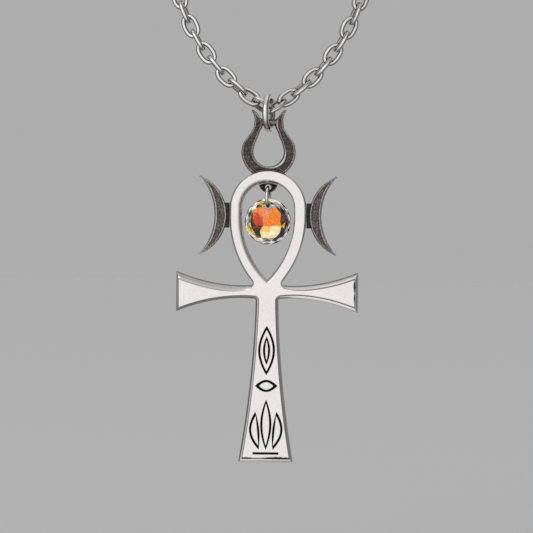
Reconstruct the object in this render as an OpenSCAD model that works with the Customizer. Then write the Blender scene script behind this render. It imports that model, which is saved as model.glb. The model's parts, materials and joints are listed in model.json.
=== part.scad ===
// Ankh pendant with a horned crown, two crescents and a hanging crystal, on a cable chain.
// Sizes are in millimetres. Shapes are laid out with X to the right, Y to the back and
// Z up from the arms' axis, and are then moved so that the clasp is at the origin.

/* [Ankh] */
// Thickness of the ankh from front to back
ankh_t = 3; // [2.2:0.1:5]
// Height of the upright wall between the front and back bevels
ankh_side_t = 1; // [0.5:0.1:1.6]
// Width of the ankh's bevels, seen from the front
ankh_bevel = 0.8; // [0.3:0.05:1]
// Span of the arms from end to end
arm_span = 38.6; // [34:0.2:60]
// Height of each arm at its end
arm_end_h = 8.6; // [5:0.1:14]
// Height of the arms where they are thinnest
arm_root_h = 2.7; // [2.3:0.05:4]
// Distance of the arms' thinnest place from the middle
arm_root_x = 5.3; // [4:0.1:8]
// Length of the shaft below the arms' axis
shaft_l = 36.1; // [26:0.1:60]
// Width of the shaft under the arms
shaft_top_w = 4.8; // [3.6:0.1:7]
// Width of the shaft's foot
shaft_base_w = 11.6; // [8:0.1:20]
// Share of the shaft's widening that is straight, the rest curves outwards
shaft_taper = 0.2; // [0:0.05:1]
// Radius of the inside corners where shaft, arms and loop meet
corner_r = 0.4; // [0.2:0.05:0.8]

/* [Loop] */
// Width of the loop's band
loop_band = 2.65; // [2.3:0.05:3.6]
// Room between the crystal and the loop on each side
crystal_room = 0.5; // [0.3:0.05:3]
// Height of the centre of the loop's round top
loop_rise = 17.75; // [16:0.1:28]
// Straight stretch of the loop below its round top
loop_side = 1.9; // [0.5:0.1:4]
// Height of the lower point of the loop's opening
loop_foot = 2.55; // [2.2:0.05:4]

/* [Horned crown] */
// Width of the crown at its widest place
crown_w = 11.6; // [9.6:0.1:16]
// Width of the opening between the horns
crown_open_w = 6.5; // [5.4:0.1:7]
// Height of the crown's widest place above the loop
crown_rise = 4; // [3.8:0.1:5.4]
// Height of the horns above the crown's widest place
horn_h = 8.75; // [7.6:0.05:14]
// Thickness of the crown
crown_t = 2.2; // [1.7:0.1:3]
// Height of the upright wall between the crown's bevels
crown_side_t = 0.8; // [0.4:0.1:1.4]
// Width of the crown's bevels
crown_bevel = 0.6; // [0.3:0.05:0.9]
// Diameter of the bar between the horns
bar_d = 1.4; // [1:0.05:1.8]
// Room beside the bail where it goes round the bar
bail_room = 0.65; // [0.5:0.05:0.9]
// Width of the tongue that goes down through the loop's top
tongue_w = 3; // [2:0.1:3.4]
// Thickness of the tongue
tongue_t = 1.2; // [1:0.05:1.4]
// Radius of the eyelet under the loop's top
eyelet_r = 2; // [1.8:0.05:2.6]
// Thickness of the eyelet
eyelet_t = 1; // [0.7:0.05:1.2]
// Wall under the eyelet's hole
eyelet_wall = 0.45; // [0.35:0.05:0.7]

/* [Crescents] */
// Height of a crescent from tip to tip
moon_h = 16.8; // [12:0.1:20]
// Width of a crescent at its middle
moon_w = 2.6; // [1.8:0.05:3.6]
// Distance that the tips stand out from the crescent's inner edge
moon_bow = 5.9; // [4.6:0.1:8]
// Gap between the loop and a crescent
moon_gap = 0.6; // [0.4:0.05:1.5]
// Drop of the crescents' middle below the centre of the loop's round top
moon_drop = 1.5; // [0.5:0.1:3]
// Thickness of a crescent
moon_t = 2.2; // [1.7:0.1:3]
// Height of the upright wall between a crescent's bevels
moon_side_t = 0.8; // [0.4:0.1:1.4]
// Width of a crescent's bevels
moon_bevel = 0.6; // [0.3:0.05:0.9]
// Height of the saddle between a crescent and the loop
saddle_h = 5.3; // [3.5:0.1:7]
// Thickness of the saddle
saddle_t = 1.4; // [1.2:0.05:1.6]
// Depth of the saddle's tenon in the loop
tenon_l = 1; // [0.5:0.05:1.3]
// Height of the tenon
tenon_h = 2.4; // [1.5:0.1:3]
// Thickness of the tenon
tenon_t = 0.8; // [0.6:0.05:1]

/* [Crystal] */
// Diameter of the crystal
crystal_d = 10; // [8:0.1:13]
// Diameter of the crystal's table, across its corners
table_d = 5.8; // [4.4:0.1:6.4]
// Height of the facets between the table and the girdle
crystal_crown_h = 1.2; // [0.8:0.05:1.5]
// Thickness of the crystal's girdle
girdle_t = 0.7; // [0.4:0.05:1]
// Depth of the facets behind the girdle
pavilion_h = 2.3; // [1.6:0.05:3.2]
// Distance of the hole's centre from the crystal's rim
crystal_hole_in = 1.7; // [1.5:0.05:2.2]

/* [Rings] */
// Outer diameter of the bail, the ring that carries the pendant
bail_d = 8.3; // [7.8:0.1:12]
// Wire of the bail
bail_wire = 1.3; // [1:0.05:1.5]
// Turn of the bail about the upright axis, in degrees
bail_turn = 13; // [0:1:16]
// Outer diameter of the crystal's ring
drop_ring_d = 4.7; // [4.5:0.05:5.4]
// Wire of the crystal's ring
drop_ring_wire = 0.7; // [0.5:0.05:0.75]
// Turn of the crystal's ring about the upright axis, in degrees
drop_ring_turn = 9; // [0:1:12]
// Play of the crystal's ring in the eyelet's hole, on each side
eyelet_play = 0.3; // [0.25:0.05:0.45]
// Play of the crystal's ring in the crystal's hole, on each side
crystal_play = 0.45; // [0.35:0.05:0.55]

/* [Chain] */
// Outer length of a link
link_l = 5.45; // [5.1:0.05:6.2]
// Outer width of a link
link_w = 3.7; // [3.45:0.05:3.9]
// Wire of the links
link_wire = 1; // [0.8:0.05:1]
// Twist of the two middle links towards each other, in degrees
middle_twist = 34; // [30:1:40]
// Share of the twist that each next link keeps
twist_share = 0.7; // [0.6:0.05:0.75]
// Step of the two middle links' inner ends, one to the front and one to the back
middle_step = 0.45; // [0.35:0.05:0.5]
// Length of the clasp's barrel
clasp_l = 8; // [6:0.5:16]
// Diameter of the clasp's barrel
clasp_d = 3.4; // [2.6:0.1:5]
// Radius of the clasp's eyes, to the middle of their wire
clasp_eye_r = 1.6; // [1.4:0.05:2.4]

/* [Fit] */
// Clearance between pieces that meet
fit = 0.11; // [0.1:0.01:0.13]
// Clearance of the crystal's ring at the edges of the holes that it crosses at a slant
ring_fit = 0.2; // [0.18:0.01:0.25]

/* [Hidden] */
$fn = 48;
arc_step = 6;

// Places of one half of the chain, from the middle of the front to the nape, chosen by hand:
// to the side, to the back and up.
chain_route = [
    [0, 0, 0], [6.1, 0, 4.1], [11.4, 0, 9.3], [15.7, 0, 15.4], [18.7, 0, 22.1],
    [21.8, 0.4, 32.6], [26, 2, 48.4], [31, 5, 64], [38, 12, 86], [46, 24, 108],
    [53, 42, 126], [56, 62, 138], [53, 84, 147], [43, 102, 152], [25, 113.5, 155.5],
    [9, 116, 156], [0, 116, 156]
];
// Middle of the neck, which the chain's flat side turns away from
neck_y = 60;

// Horns above the crown's widest place, a row for each height: share of the horns' height,
// share of the crown's half width outside, share of the opening's bulge inside.
horn_rows = [
    [0, 1, 1],
    [0.15, 0.955, 0.86],
    [0.32, 0.8, 0.555],
    [0.5, 0.615, 0.25],
    [0.63, 0.545, 0.02],
    [0.72, 0.53, 0.03],
    [0.83, 0.54, 0.33],
    [0.925, 0.585, 0.64],
    [1, 0.645, 0.93]
];
bar_row = 0.7;

loop_r = crystal_d / 2 + crystal_room + loop_band;
loop_in_r = loop_r - loop_band;
loop_top = loop_rise + loop_r;
loop_low = loop_rise - loop_side;
arm_x = arm_span / 2;
arm_curve = (arm_end_h - arm_root_h) / 2 / pow(arm_x - arm_root_x, 2);
// Radius of the loop's inner sides, which run in to the lower point of its opening
side_in_r = (pow(loop_in_r, 2) + pow(loop_low - loop_foot, 2)) / 2 / loop_in_r;
side_r = side_in_r + loop_band;
side_x = loop_in_r - side_in_r;

crown_z = loop_top + crown_rise;
bar_z = crown_z + bar_row * horn_h;
neck_r = bail_wire / 2 + bail_room;
eyelet_z = loop_rise + loop_in_r - fit;
eyelet_hole_r = drop_ring_wire / 2 + eyelet_play;
eyelet_hole_z = eyelet_z - eyelet_r + eyelet_wall + eyelet_hole_r;

drop_ring_r = (drop_ring_d - drop_ring_wire) / 2;
drop_in_r = drop_ring_r - drop_ring_wire / 2 - ring_fit;
drop_ring_z = eyelet_hole_z - eyelet_hole_r - rise(drop_in_r, eyelet_t / 2);
crystal_r = crystal_d / 2;
crystal_hole_r = drop_ring_wire / 2 + crystal_play;
// Half thickness of the crystal above its hole, which the ring goes round
crystal_lip = girdle_t / 2 + crystal_crown_h * (crystal_hole_in - crystal_hole_r)
    / (crystal_r - table_d / 2);
crystal_hole_z = drop_ring_z - rise(drop_in_r, crystal_lip) - crystal_hole_r;
crystal_z = crystal_hole_z + crystal_hole_in - crystal_r;

bail_r = (bail_d - bail_wire) / 2;
bail_z = bar_z - bar_d / 2 - fit - bail_wire / 2 + bail_r;

// Half length and half width of a link, to the middle of its wire
link_a = (link_l - link_wire) / 2;
link_b = (link_w - link_wire) / 2;
pitch_max = link_l - 2 * link_wire - 1.2 * fit;
// The bail rests on the upper wires of the two middle links, which rise to each side
middle_rise = link_b * cos(middle_twist) + bail_wire / 2 * chain_route[1].z / chain_route[1].x;
vertex_z = bail_z + bail_r - bail_wire / 2 - fit - link_wire / 2 - middle_rise;

route_path = smooth(chain_route, 8);
route_sum = sums([for (i = [1:len(route_path) - 1]) norm(route_path[i] - route_path[i - 1])]);
route_l = route_sum[len(route_sum) - 1];
nape = chain_route[len(chain_route) - 1] + [0, 0, vertex_z];
clasp_eye_x = clasp_l / 2 + clasp_eye_r - 0.2;
clasp_reach = clasp_eye_x + clasp_eye_r - (link_wire + fit) / 2;
links = ceil((route_l - clasp_reach) / pitch_max);
pitch = (route_l - clasp_reach) / links;

// Height above the centre of a ring's inner edge at a distance from its middle
function rise(r, x) = sqrt(pow(r, 2) - pow(x, 2));
function unit(v) = v / norm(v);
function flip(p) = [for (i = [len(p) - 1:-1:0]) [-p[i].x, p[i].y]];
function sums(a) = [for (i = 0, s = 0; i <= len(a); s = s + (i < len(a) ? a[i] : 0), i = i + 1) s];
function arc(c, r, from, to) = let (n = ceil(abs(to - from) / arc_step))
    [for (i = [0:n]) let (a = from + (to - from) * i / n) c + r * [cos(a), sin(a)]];

// Smooth curve through points, whose slope at each point follows its two neighbours
function slope(p, i) = let (n = len(p) - 1)
    i == 0 ? unit(p[1] - p[0])
    : i == n ? unit(p[n] - p[n - 1])
    : let (a = norm(p[i] - p[i - 1]), b = norm(p[i + 1] - p[i]))
        unit((p[i] - p[i - 1]) / a * b + (p[i + 1] - p[i]) / b * a);
function between(p, i, t) = let (
        l = norm(p[i + 1] - p[i]), u = slope(p, i) * l, v = slope(p, i + 1) * l,
        d = p[i + 1] - p[i])
    p[i] + u * t + (3 * d - 2 * u - v) * pow(t, 2) + (u + v - 2 * d) * pow(t, 3);
function smooth(p, n) = concat(
    [for (i = [0:len(p) - 2], k = [0:n - 1]) between(p, i, k / n)], [p[len(p) - 1]]);

// Closed outline moved inwards by a distance, its points listed against the clock
function inset(p, d) = let (n = len(p))
    [for (i = [0:n - 1]) let (
            e = unit(p[i] - p[(i + n - 1) % n]), f = unit(p[(i + 1) % n] - p[i]))
        p[i] + d * [-e.y - f.y, e.x + f.x] / (1 + e * f)];

// Solid through rings of points. Its flat ends are single faces, or the given ones.
module loft(rings, end_faces = []) {
    m = len(rings[0]);
    n = len(rings);
    points = [for (ring = rings, p = ring) p];
    sides = [for (i = [0:n - 2], j = [0:m - 1])
        let (a = i * m + j, b = i * m + (j + 1) % m)
            each [[a, b, b + m], [a, b + m, a + m]]];
    end = len(end_faces) == 0 ? [[for (j = [0:m - 1]) j]] : end_faces;
    starts = [for (f = end) [for (j = [len(f) - 1:-1:0]) f[j]]];
    stops = [for (f = end) [for (j = f) (n - 1) * m + j]];
    polyhedron(points, concat(sides, starts, stops), convexity = 8);
}

// Plate with the given outline and rounded bevels, or the matching hole cutter
module plate(outline, t, side_t, bevel, hole = false, end_faces = []) {
    rows = [for (a = [0:30:90]) [bevel * (1 - cos(a)), side_t / 2 + (t - side_t) / 2 * sin(a)]];
    over = hole ? [[bevel, t]] : [];
    half = concat(rows, over);
    front = [for (i = [len(half) - 1:-1:0]) [half[i].x, -half[i].y]];
    loft([for (row = concat(front, half)) let (d = hole ? -row.x : row.x)
        [for (p = inset(outline, d)) [p.x, row.y, p.y]]], end_faces);
}

// Bevelled bar between two edges, given as pairs of points, flatter where it is narrow
module bevelled_bar(pairs, t, side_t, bevel) {
    loft([for (pair = pairs) let (
            p = pair[0], q = pair[1], e = unit(q - p), b = min(bevel, 0.42 * norm(q - p)),
            s = side_t / 2, d = s + (t / 2 - s) * b / bevel,
            row = [[p, s], [p + e * b * 0.3, s + (d - s) * 0.7], [p + e * b, d],
                [q - e * b, d], [q - e * b * 0.3, s + (d - s) * 0.7], [q, s]])
        concat([for (r = row) [r[0].x, -r[1], r[0].y]],
            [for (i = [len(row) - 1:-1:0]) [row[i][0].x, row[i][1], row[i][0].y]])]);
}

// Round rod along X or Y
module rod_x(d, l, at = [0, 0, 0]) {
    translate(at) rotate([0, 90, 0]) cylinder(d = d, h = l, center = true);
}
module rod_y(r, l, at = [0, 0, 0]) {
    translate(at) rotate([90, 0, 0]) cylinder(r = r, h = l, center = true);
}

// Wire ring that stands in the plane of Y and Z, its front turned to the left
module wire_ring(r, wire, turn) {
    rotate([0, 0, -turn]) rotate([0, 90, 0]) rotate_extrude() translate([r, 0]) circle(d = wire);
}

// Half height of the arms at a distance from the middle
function arm_half(x) = arm_root_h / 2 + arm_curve * pow(x - arm_root_x, 2);
// Half width of the shaft at a share of its length below the arms
function shaft_half(u) = shaft_top_w / 2
    + (shaft_base_w - shaft_top_w) / 2 * (shaft_taper * u + (1 - shaft_taper) * pow(u, 2));
// Place where the loop's outer edge meets the arm's upper edge
function loop_foot_x(x, n) = n == 0 ? x
    : loop_foot_x(side_x + sqrt(pow(side_r, 2) - pow(loop_low - arm_half(x), 2)), n - 1);

// Rounded inside corner at c between edges that leave it along u and v
corner_steps = 4;
function corner(c, u, v, r) = let (
        half = acos(u * v) / 2, m = c + unit(u + v) * r / sin(half),
        a = c + u * r / tan(half), b = c + v * r / tan(half))
    [for (k = [0:corner_steps]) m + unit((a - m) * (corner_steps - k) + (b - m) * k) * r];

// Right side of the ankh's outline, from its foot up to the top of the loop
shaft_x = shaft_half(0);
shaft_z = -arm_half(shaft_x);
foot_x = loop_foot_x(arm_root_x, 12);
foot_z = arm_half(foot_x);
foot_turn = asin((loop_low - foot_z) / side_r);
foot_way = [sin(foot_turn), cos(foot_turn)];
foot_back = corner_r / tan(acos(foot_way.x) / 2);
shaft_steps = 16;
arm_steps = 14;
right_side = concat(
    [for (k = [0:shaft_steps]) let (u = 1 - k / shaft_steps * (1 - 1.6 * corner_r / shaft_l))
        [shaft_half(u), shaft_z - (shaft_l + shaft_z) * u]],
    corner([shaft_x, shaft_z], [0, -1], [1, 0], corner_r),
    [for (k = [1:arm_steps]) let (x = shaft_x + corner_r + (arm_x - shaft_x - corner_r) * k / arm_steps)
        [x, -arm_half(x)]],
    [for (k = [arm_steps:-1:1]) let (
            x = foot_x + foot_back + (arm_x - foot_x - foot_back) * k / arm_steps)
        [x, arm_half(x)]],
    corner([foot_x, foot_z], [1, 0], foot_way, corner_r),
    arc([side_x, loop_low], side_r, -foot_turn + 1.2 * foot_back / side_r * 180 / PI, 0),
    arc([0, loop_rise], loop_r, 0, 90)
);
opening_side = concat(
    arc([side_x, loop_low], side_in_r, -asin((loop_low - loop_foot) / side_in_r), 0),
    arc([0, loop_rise], loop_in_r, 0, 90)
);

// The same side and its mirror image as one closed outline, without the doubled top
function whole(side) = concat(side, [for (i = [1:len(side) - 1]) flip(side)[i]]);
function opened(side) = let (both = whole(side)) [for (i = [0:len(both) - 2]) both[i]];

// Faces of the ankh's flat front and back: across it from side to side, and along each arm
half_n = len(right_side);
arm_from = shaft_steps + corner_steps + 1;
arm_to = arm_from + 2 * arm_steps + 1;
function other(i) = 2 * half_n - 2 - i;
across = [for (i = [0:half_n - 3]) if (i < arm_from || i >= arm_to)
    [i, i + 1, other(i + 1), other(i)]];
along_arms = [for (k = [0:arm_steps - 1]) let (
        a = [arm_from + k, arm_from + k + 1, arm_to - k - 1, arm_to - k])
    each [a, [for (j = [3:-1:0]) other(a[j])]]];
ankh_faces = concat(across, along_arms,
    [[arm_from, arm_to, other(arm_to), other(arm_from)], [half_n - 2, half_n - 1, half_n]]);

module ankh() {
    color("gainsboro") difference() {
        plate(whole(right_side), ankh_t, ankh_side_t, ankh_bevel, end_faces = ankh_faces);
        plate(opened(opening_side), ankh_t, ankh_side_t, ankh_bevel, hole = true);
        translate([0, 0, loop_top - loop_band / 2])
            cube([tongue_w + 2 * fit, tongue_t + 2 * fit, 2 * loop_band], center = true);
        for (side = [-1, 1])
            translate([side * loop_r, 0, loop_rise - moon_drop])
                cube([2 * (tenon_l + fit), tenon_t + 2 * fit, tenon_h + 2 * fit], center = true);
    }
}

// Pairs of outer and inner points along the crown's right half, from its bottom to the tip
bowl_pairs = [for (a = [0:10:80]) let (d = [sin(a), -cos(a)])
    [[0, crown_z] + d * crown_w / 2, [0, crown_z] + d * crown_open_w / 2]];
horn_pairs = [for (r = smooth(horn_rows, 3)) let (z = crown_z + r[0] * horn_h)
    [[r[1] * crown_w / 2, z], [neck_r + r[2] * (crown_open_w / 2 - neck_r), z]]];
crown_right = concat(bowl_pairs, horn_pairs);

module horned_crown() {
    left = [for (i = [len(crown_right) - 1:-1:1]) [for (p = crown_right[i]) [-p.x, p.y]]];
    bar_half = lookup(bar_row, [for (r = horn_rows) [r[0], r[1]]]) * crown_w / 4 + neck_r / 2;
    ledge_z = crown_z - crown_open_w / 2 - 0.1;
    color("dimgray") {
        difference() {
            bevelled_bar(concat(left, crown_right), crown_t, crown_side_t, crown_bevel);
            rod_y(loop_r + fit, 2 * crown_t, [0, 0, loop_rise]);
        }
        rod_x(bar_d, 2 * bar_half, [0, 0, bar_z]);
        translate([-tongue_w / 2, -tongue_t / 2, eyelet_hole_z + eyelet_hole_r])
            cube([tongue_w, tongue_t, ledge_z - eyelet_hole_z - eyelet_hole_r]);
        difference() {
            intersection() {
                rod_y(eyelet_r, eyelet_t, [0, 0, eyelet_z]);
                rod_y(loop_in_r - fit, 2 * eyelet_t, [0, 0, loop_rise]);
            }
            rod_y(eyelet_hole_r, 2 * eyelet_t, [0, 0, eyelet_hole_z]);
        }
    }
}

// Crescent on the right, whose edges are two arcs through the same tips
moon_x = loop_r + moon_gap;
moon_in_r = (pow(moon_bow, 2) + pow(moon_h / 2, 2)) / 2 / moon_bow;
moon_out_r = (pow(moon_bow - moon_w, 2) + pow(moon_h / 2, 2)) / 2 / (moon_bow - moon_w);
moon_pairs = [for (u = [0.97, each [0.9:-0.1:-0.9], -0.97]) let (
        a = u * asin(moon_h / 2 / moon_in_r), b = u * asin(moon_h / 2 / moon_out_r))
    [[moon_x + moon_in_r * (1 - cos(a)), moon_in_r * sin(a)],
        [moon_x + moon_w + moon_out_r * (1 - cos(b)), moon_out_r * sin(b)]]];

module moon_right() {
    saddle_x = loop_r + fit;
    saddle_l = moon_gap + moon_w / 2 - fit;
    color("dimgray") translate([0, 0, loop_rise - moon_drop]) {
        bevelled_bar(moon_pairs, moon_t, moon_side_t, moon_bevel);
        translate([saddle_x, -saddle_t / 2, -saddle_h / 2]) cube([saddle_l, saddle_t, saddle_h]);
        translate([loop_r - tenon_l, -tenon_t / 2, -tenon_h / 2])
            cube([tenon_l + 2 * fit, tenon_t, tenon_h]);
    }
}
module moon_left() {
    mirror([1, 0, 0]) moon_right();
}

// Point of the crystal at a turn and radius, on the slope from the girdle towards the middle
function on_slope(a, r, from, h, to_r, step) = [r * sin(a),
    from + h * (crystal_r - r * cos(step)) / (crystal_r - to_r), r * cos(a)];

module crystal() {
    g = girdle_t / 2;
    kite_r = (table_d / 2 + crystal_r) / 2;
    low_r = 0.3 * crystal_r;
    turn = 360 / 8;
    half = turn / 2;
    table_at = [for (k = [0:7])
        on_slope(turn * k, table_d / 2, -g, -crystal_crown_h, table_d / 2, 0)];
    kite_at = [for (k = [0:7])
        on_slope(turn * k + half, kite_r, -g, -crystal_crown_h, table_d / 2, half)];
    front_at = [for (k = [0:15]) [crystal_r * sin(half * k), -g, crystal_r * cos(half * k)]];
    back_at = [for (p = front_at) [p.x, g, p.z]];
    low_at = [for (k = [0:7]) on_slope(turn * k + half, low_r, g, pavilion_h, 0, half)];
    points = concat(table_at, kite_at, front_at, back_at, low_at, [[0, g + pavilion_h, 0]]);
    kite = len(table_at);
    front = kite + len(kite_at);
    back = front + len(front_at);
    low = back + len(back_at);
    culet = low + len(low_at);
    faces = concat(
        [[for (k = [0:7]) k]],
        [for (k = [0:7]) [k, kite + k, (k + 1) % 8]],
        [for (k = [0:7]) [k, kite + (k + 7) % 8, front + 2 * k, kite + k]],
        [for (k = [0:7]) each [
            [kite + k, front + 2 * k, front + 2 * k + 1],
            [kite + k, front + 2 * k + 1, front + (2 * k + 2) % 16]]],
        [for (k = [0:15]) [front + k, back + k, back + (k + 1) % 16, front + (k + 1) % 16]],
        [for (k = [0:7]) each [
            [low + k, back + 2 * k + 1, back + 2 * k],
            [low + k, back + (2 * k + 2) % 16, back + 2 * k + 1]]],
        [for (k = [0:7]) [culet, low + k, back + 2 * k, low + (k + 7) % 8]]
    );
    color("orange") difference() {
        translate([0, 0, crystal_z]) polyhedron(points, faces, convexity = 4);
        rod_y(crystal_hole_r, 4 * crystal_r, [0, 0, crystal_hole_z]);
    }
}

module crystal_ring() {
    color("silver") translate([0, 0, drop_ring_z])
        wire_ring(drop_ring_r, drop_ring_wire, drop_ring_turn);
}

module jump_ring() {
    color("silver") translate([0, 0, bail_z]) wire_ring(bail_r, bail_wire, bail_turn);
}

// Link that lies along X, two half rings joined by straight wires
module link() {
    for (side = [-1, 1]) {
        translate([side * (link_a - link_b), 0, 0]) rotate([0, 0, -90 * side])
            rotate_extrude(angle = 180) translate([link_b, 0]) circle(d = link_wire);
        rod_x(link_wire, 2 * (link_a - link_b), [0, side * link_b, 0]);
    }
}

// Place on the route at a length from its front
function at(s) = [for (k = [0:2])
    lookup(s, [for (i = [0:len(route_path) - 1]) [route_sum[i], route_path[i][k]]])];

// Turns what it is given to lie from a to b, its flat side away from the neck
module along(a, b, turn) {
    c = (a + b) / 2;
    x = unit(b - a);
    away = [c.x, c.y - neck_y, 0];
    z = unit(away - (away * x) * x);
    y = cross(z, x);
    multmatrix([[x.x, y.x, z.x, c.x], [x.y, y.y, z.y, c.y], [x.z, y.z, z.z, c.z]])
        rotate([turn, 0, 0]) children();
}

// Turn of a link on the chain's right half, each a quarter turn from the one before
function link_turn(i) = 90 * (i % 2 - 1) + middle_twist * pow(twist_share, i);

// The right half of the chain, or with side -1 the one that fits its mirror image
module chain_half(side) {
    step = [0, side * middle_step, 0];
    for (i = [0:links - 1])
        along(at(i * pitch) - (i == 0 ? step : [0, 0, 0]), at((i + 1) * pitch), side * link_turn(i))
            link();
}
module chain_right() {
    color("silver") translate([0, 0, vertex_z]) chain_half(1);
}
module chain_left() {
    color("silver") translate([0, 0, vertex_z]) mirror([1, 0, 0]) chain_half(-1);
}

module clasp() {
    color("silver") translate(nape) {
        rod_x(clasp_d, clasp_l);
        for (side = [-1, 1])
            translate([side * clasp_eye_x, 0, 0]) rotate([link_turn(links - 1), 0, 0])
                rotate_extrude() translate([clasp_eye_r, 0]) circle(d = link_wire);
    }
}

// Moves the pendant and chain so that the clasp is at the origin
module worn() {
    translate(-nape) children();
}

worn() ankh();
worn() horned_crown();
worn() moon_left();
worn() moon_right();
worn() crystal();
worn() crystal_ring();
worn() jump_ring();
worn() chain_left();
worn() chain_right();
worn() clasp();
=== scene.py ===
import json
import math

import bmesh
import bpy
from mathutils import Matrix, Vector, geometry


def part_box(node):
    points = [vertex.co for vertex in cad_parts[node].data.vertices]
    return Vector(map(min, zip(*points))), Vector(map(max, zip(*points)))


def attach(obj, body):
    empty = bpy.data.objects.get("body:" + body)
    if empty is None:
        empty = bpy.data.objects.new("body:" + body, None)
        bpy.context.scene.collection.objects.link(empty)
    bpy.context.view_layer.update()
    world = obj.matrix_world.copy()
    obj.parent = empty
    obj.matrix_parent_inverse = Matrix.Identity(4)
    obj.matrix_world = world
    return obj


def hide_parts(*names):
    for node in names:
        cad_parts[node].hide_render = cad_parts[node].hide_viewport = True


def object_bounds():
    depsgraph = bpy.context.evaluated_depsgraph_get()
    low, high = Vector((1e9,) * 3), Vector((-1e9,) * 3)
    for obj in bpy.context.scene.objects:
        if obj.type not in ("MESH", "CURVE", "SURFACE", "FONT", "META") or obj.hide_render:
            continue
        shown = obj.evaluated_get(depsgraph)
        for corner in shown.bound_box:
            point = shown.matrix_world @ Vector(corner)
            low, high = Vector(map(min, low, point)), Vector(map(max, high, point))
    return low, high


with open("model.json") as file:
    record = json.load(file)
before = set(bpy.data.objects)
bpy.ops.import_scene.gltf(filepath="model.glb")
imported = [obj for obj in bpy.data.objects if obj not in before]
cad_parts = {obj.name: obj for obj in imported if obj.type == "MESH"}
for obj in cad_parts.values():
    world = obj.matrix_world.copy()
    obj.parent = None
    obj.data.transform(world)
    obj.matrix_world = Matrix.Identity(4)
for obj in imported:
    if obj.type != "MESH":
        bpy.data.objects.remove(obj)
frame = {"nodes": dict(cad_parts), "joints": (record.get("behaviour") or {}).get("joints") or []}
cadLow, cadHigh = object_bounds()

# Sizes are in millimetres, in the layout of the part's source: X to the right, Y to the back
# and Z up from the arms' axis. The crown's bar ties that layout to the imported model.
mm = 0.001
barZ = 36.025
barCentre = Vector(frame["joints"][0]["pos_m"]) / mm
layoutOrigin = barCentre - Vector((0, 0, barZ))
print("stage: frame loaded")


def inFrame(p):
    return (Vector(p) + layoutOrigin) * mm


# Helpers for shader and geometry nodes

# Sets a node's inputs and properties by name. An input whose value is an output is linked to it.
def feed(tree, made, values):
    for name, value in values.items():
        if not isinstance(name, int) and name not in made.inputs:
            setattr(made, name, value)
        elif isinstance(value, bpy.types.NodeSocket):
            tree.links.new(value, made.inputs[name])
        else:
            made.inputs[name].default_value = value
    return made


def node(tree, kind, values=None):
    return feed(tree, tree.nodes.new(kind), values or {})


def maths(tree, operation, *values, kind="ShaderNodeMath"):
    return node(tree, kind, {"operation": operation, **dict(enumerate(values))}).outputs[0]


def noise(tree, place, size, detail=2.0, roughness=0.5):
    return node(tree, "ShaderNodeTexNoise", {
        "Vector": place, "Scale": size, "Detail": detail, "Roughness": roughness}).outputs["Fac"]


def objectPlace(tree):
    return node(tree, "ShaderNodeTexCoord").outputs["Object"]


# Gives a node group its sockets and returns those inside it
def openGroup(tree, inputs, outputs):
    for way, sockets in (("INPUT", inputs), ("OUTPUT", outputs)):
        for label, kind in sockets:
            tree.interface.new_socket(label, in_out=way, socket_type="NodeSocket" + kind)
    return tree.nodes.new("NodeGroupInput").outputs, tree.nodes.new("NodeGroupOutput").inputs


# Fine grain of a cast and polished surface: a mask of soft blotches, a shade and a bumped normal
def castGrain():
    tree = bpy.data.node_groups.new("castGrain", "ShaderNodeTree")
    labels = ("Grain size", "Blotch size", "Bump", "Base", "Mottle", "Speckle")
    start, end = openGroup(tree, [(label, "Float") for label in labels],
                           [("Blotches", "Float"), ("Shade", "Float"), ("Normal", "Vector")])
    place = objectPlace(tree)
    fine = noise(tree, place, start["Grain size"], 3.0, 0.6)
    broad = noise(tree, place, start["Blotch size"])
    bump = node(tree, "ShaderNodeBump", {"Strength": start["Bump"], "Distance": 0.00005, "Height": fine})
    value = start["Base"]
    for texture, label in ((broad, "Mottle"), (fine, "Speckle")):
        value = maths(tree, "MULTIPLY_ADD", maths(tree, "SUBTRACT", texture, 0.5), start[label], value)
    for label, made in (("Blotches", broad), ("Shade", value), ("Normal", bump.outputs["Normal"])):
        tree.links.new(made, end[label])
    return tree


grainTree = castGrain()


def ramp(tree, factor, stops):
    made = node(tree, "ShaderNodeValToRGB", {"Fac": factor})
    elements = made.color_ramp.elements
    while len(elements) < len(stops):
        elements.new(0.5)
    for element, (place, colour) in zip(elements, stops):
        element.position = place
        element.color = (*colour, 1)
    return made.outputs["Color"]


def emptyTree(material):
    material.use_nodes = True
    material.node_tree.nodes.clear()
    return material.node_tree


def blank(name):
    material = bpy.data.materials.new(name)
    tree = emptyTree(material)
    surface = node(tree, "ShaderNodeBsdfPrincipled")
    node(tree, "ShaderNodeOutputMaterial", {"Surface": surface.outputs[0]})
    return material, tree, surface


# Takes a soft and uneven patch of painted shade off a shade value, with its middle and its reach given in the
# layout
def darkened(tree, value, shadePatch):
    place = objectPlace(tree)
    centred = node(tree, "ShaderNodeMapping", {
        "vector_type": "TEXTURE", "Vector": place, "Location": inFrame(shadePatch["at"]),
        "Scale": Vector(shadePatch["reach"]) * mm})
    spot = node(tree, "ShaderNodeTexGradient", {"gradient_type": "SPHERICAL", "Vector": centred.outputs[0]})
    uneven = maths(tree, "MULTIPLY", spot.outputs["Fac"], noise(tree, place, size=1800.0))
    return maths(tree, "SUBTRACT", value, maths(tree, "MULTIPLY", uneven, shadePatch["depth"]))
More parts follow.
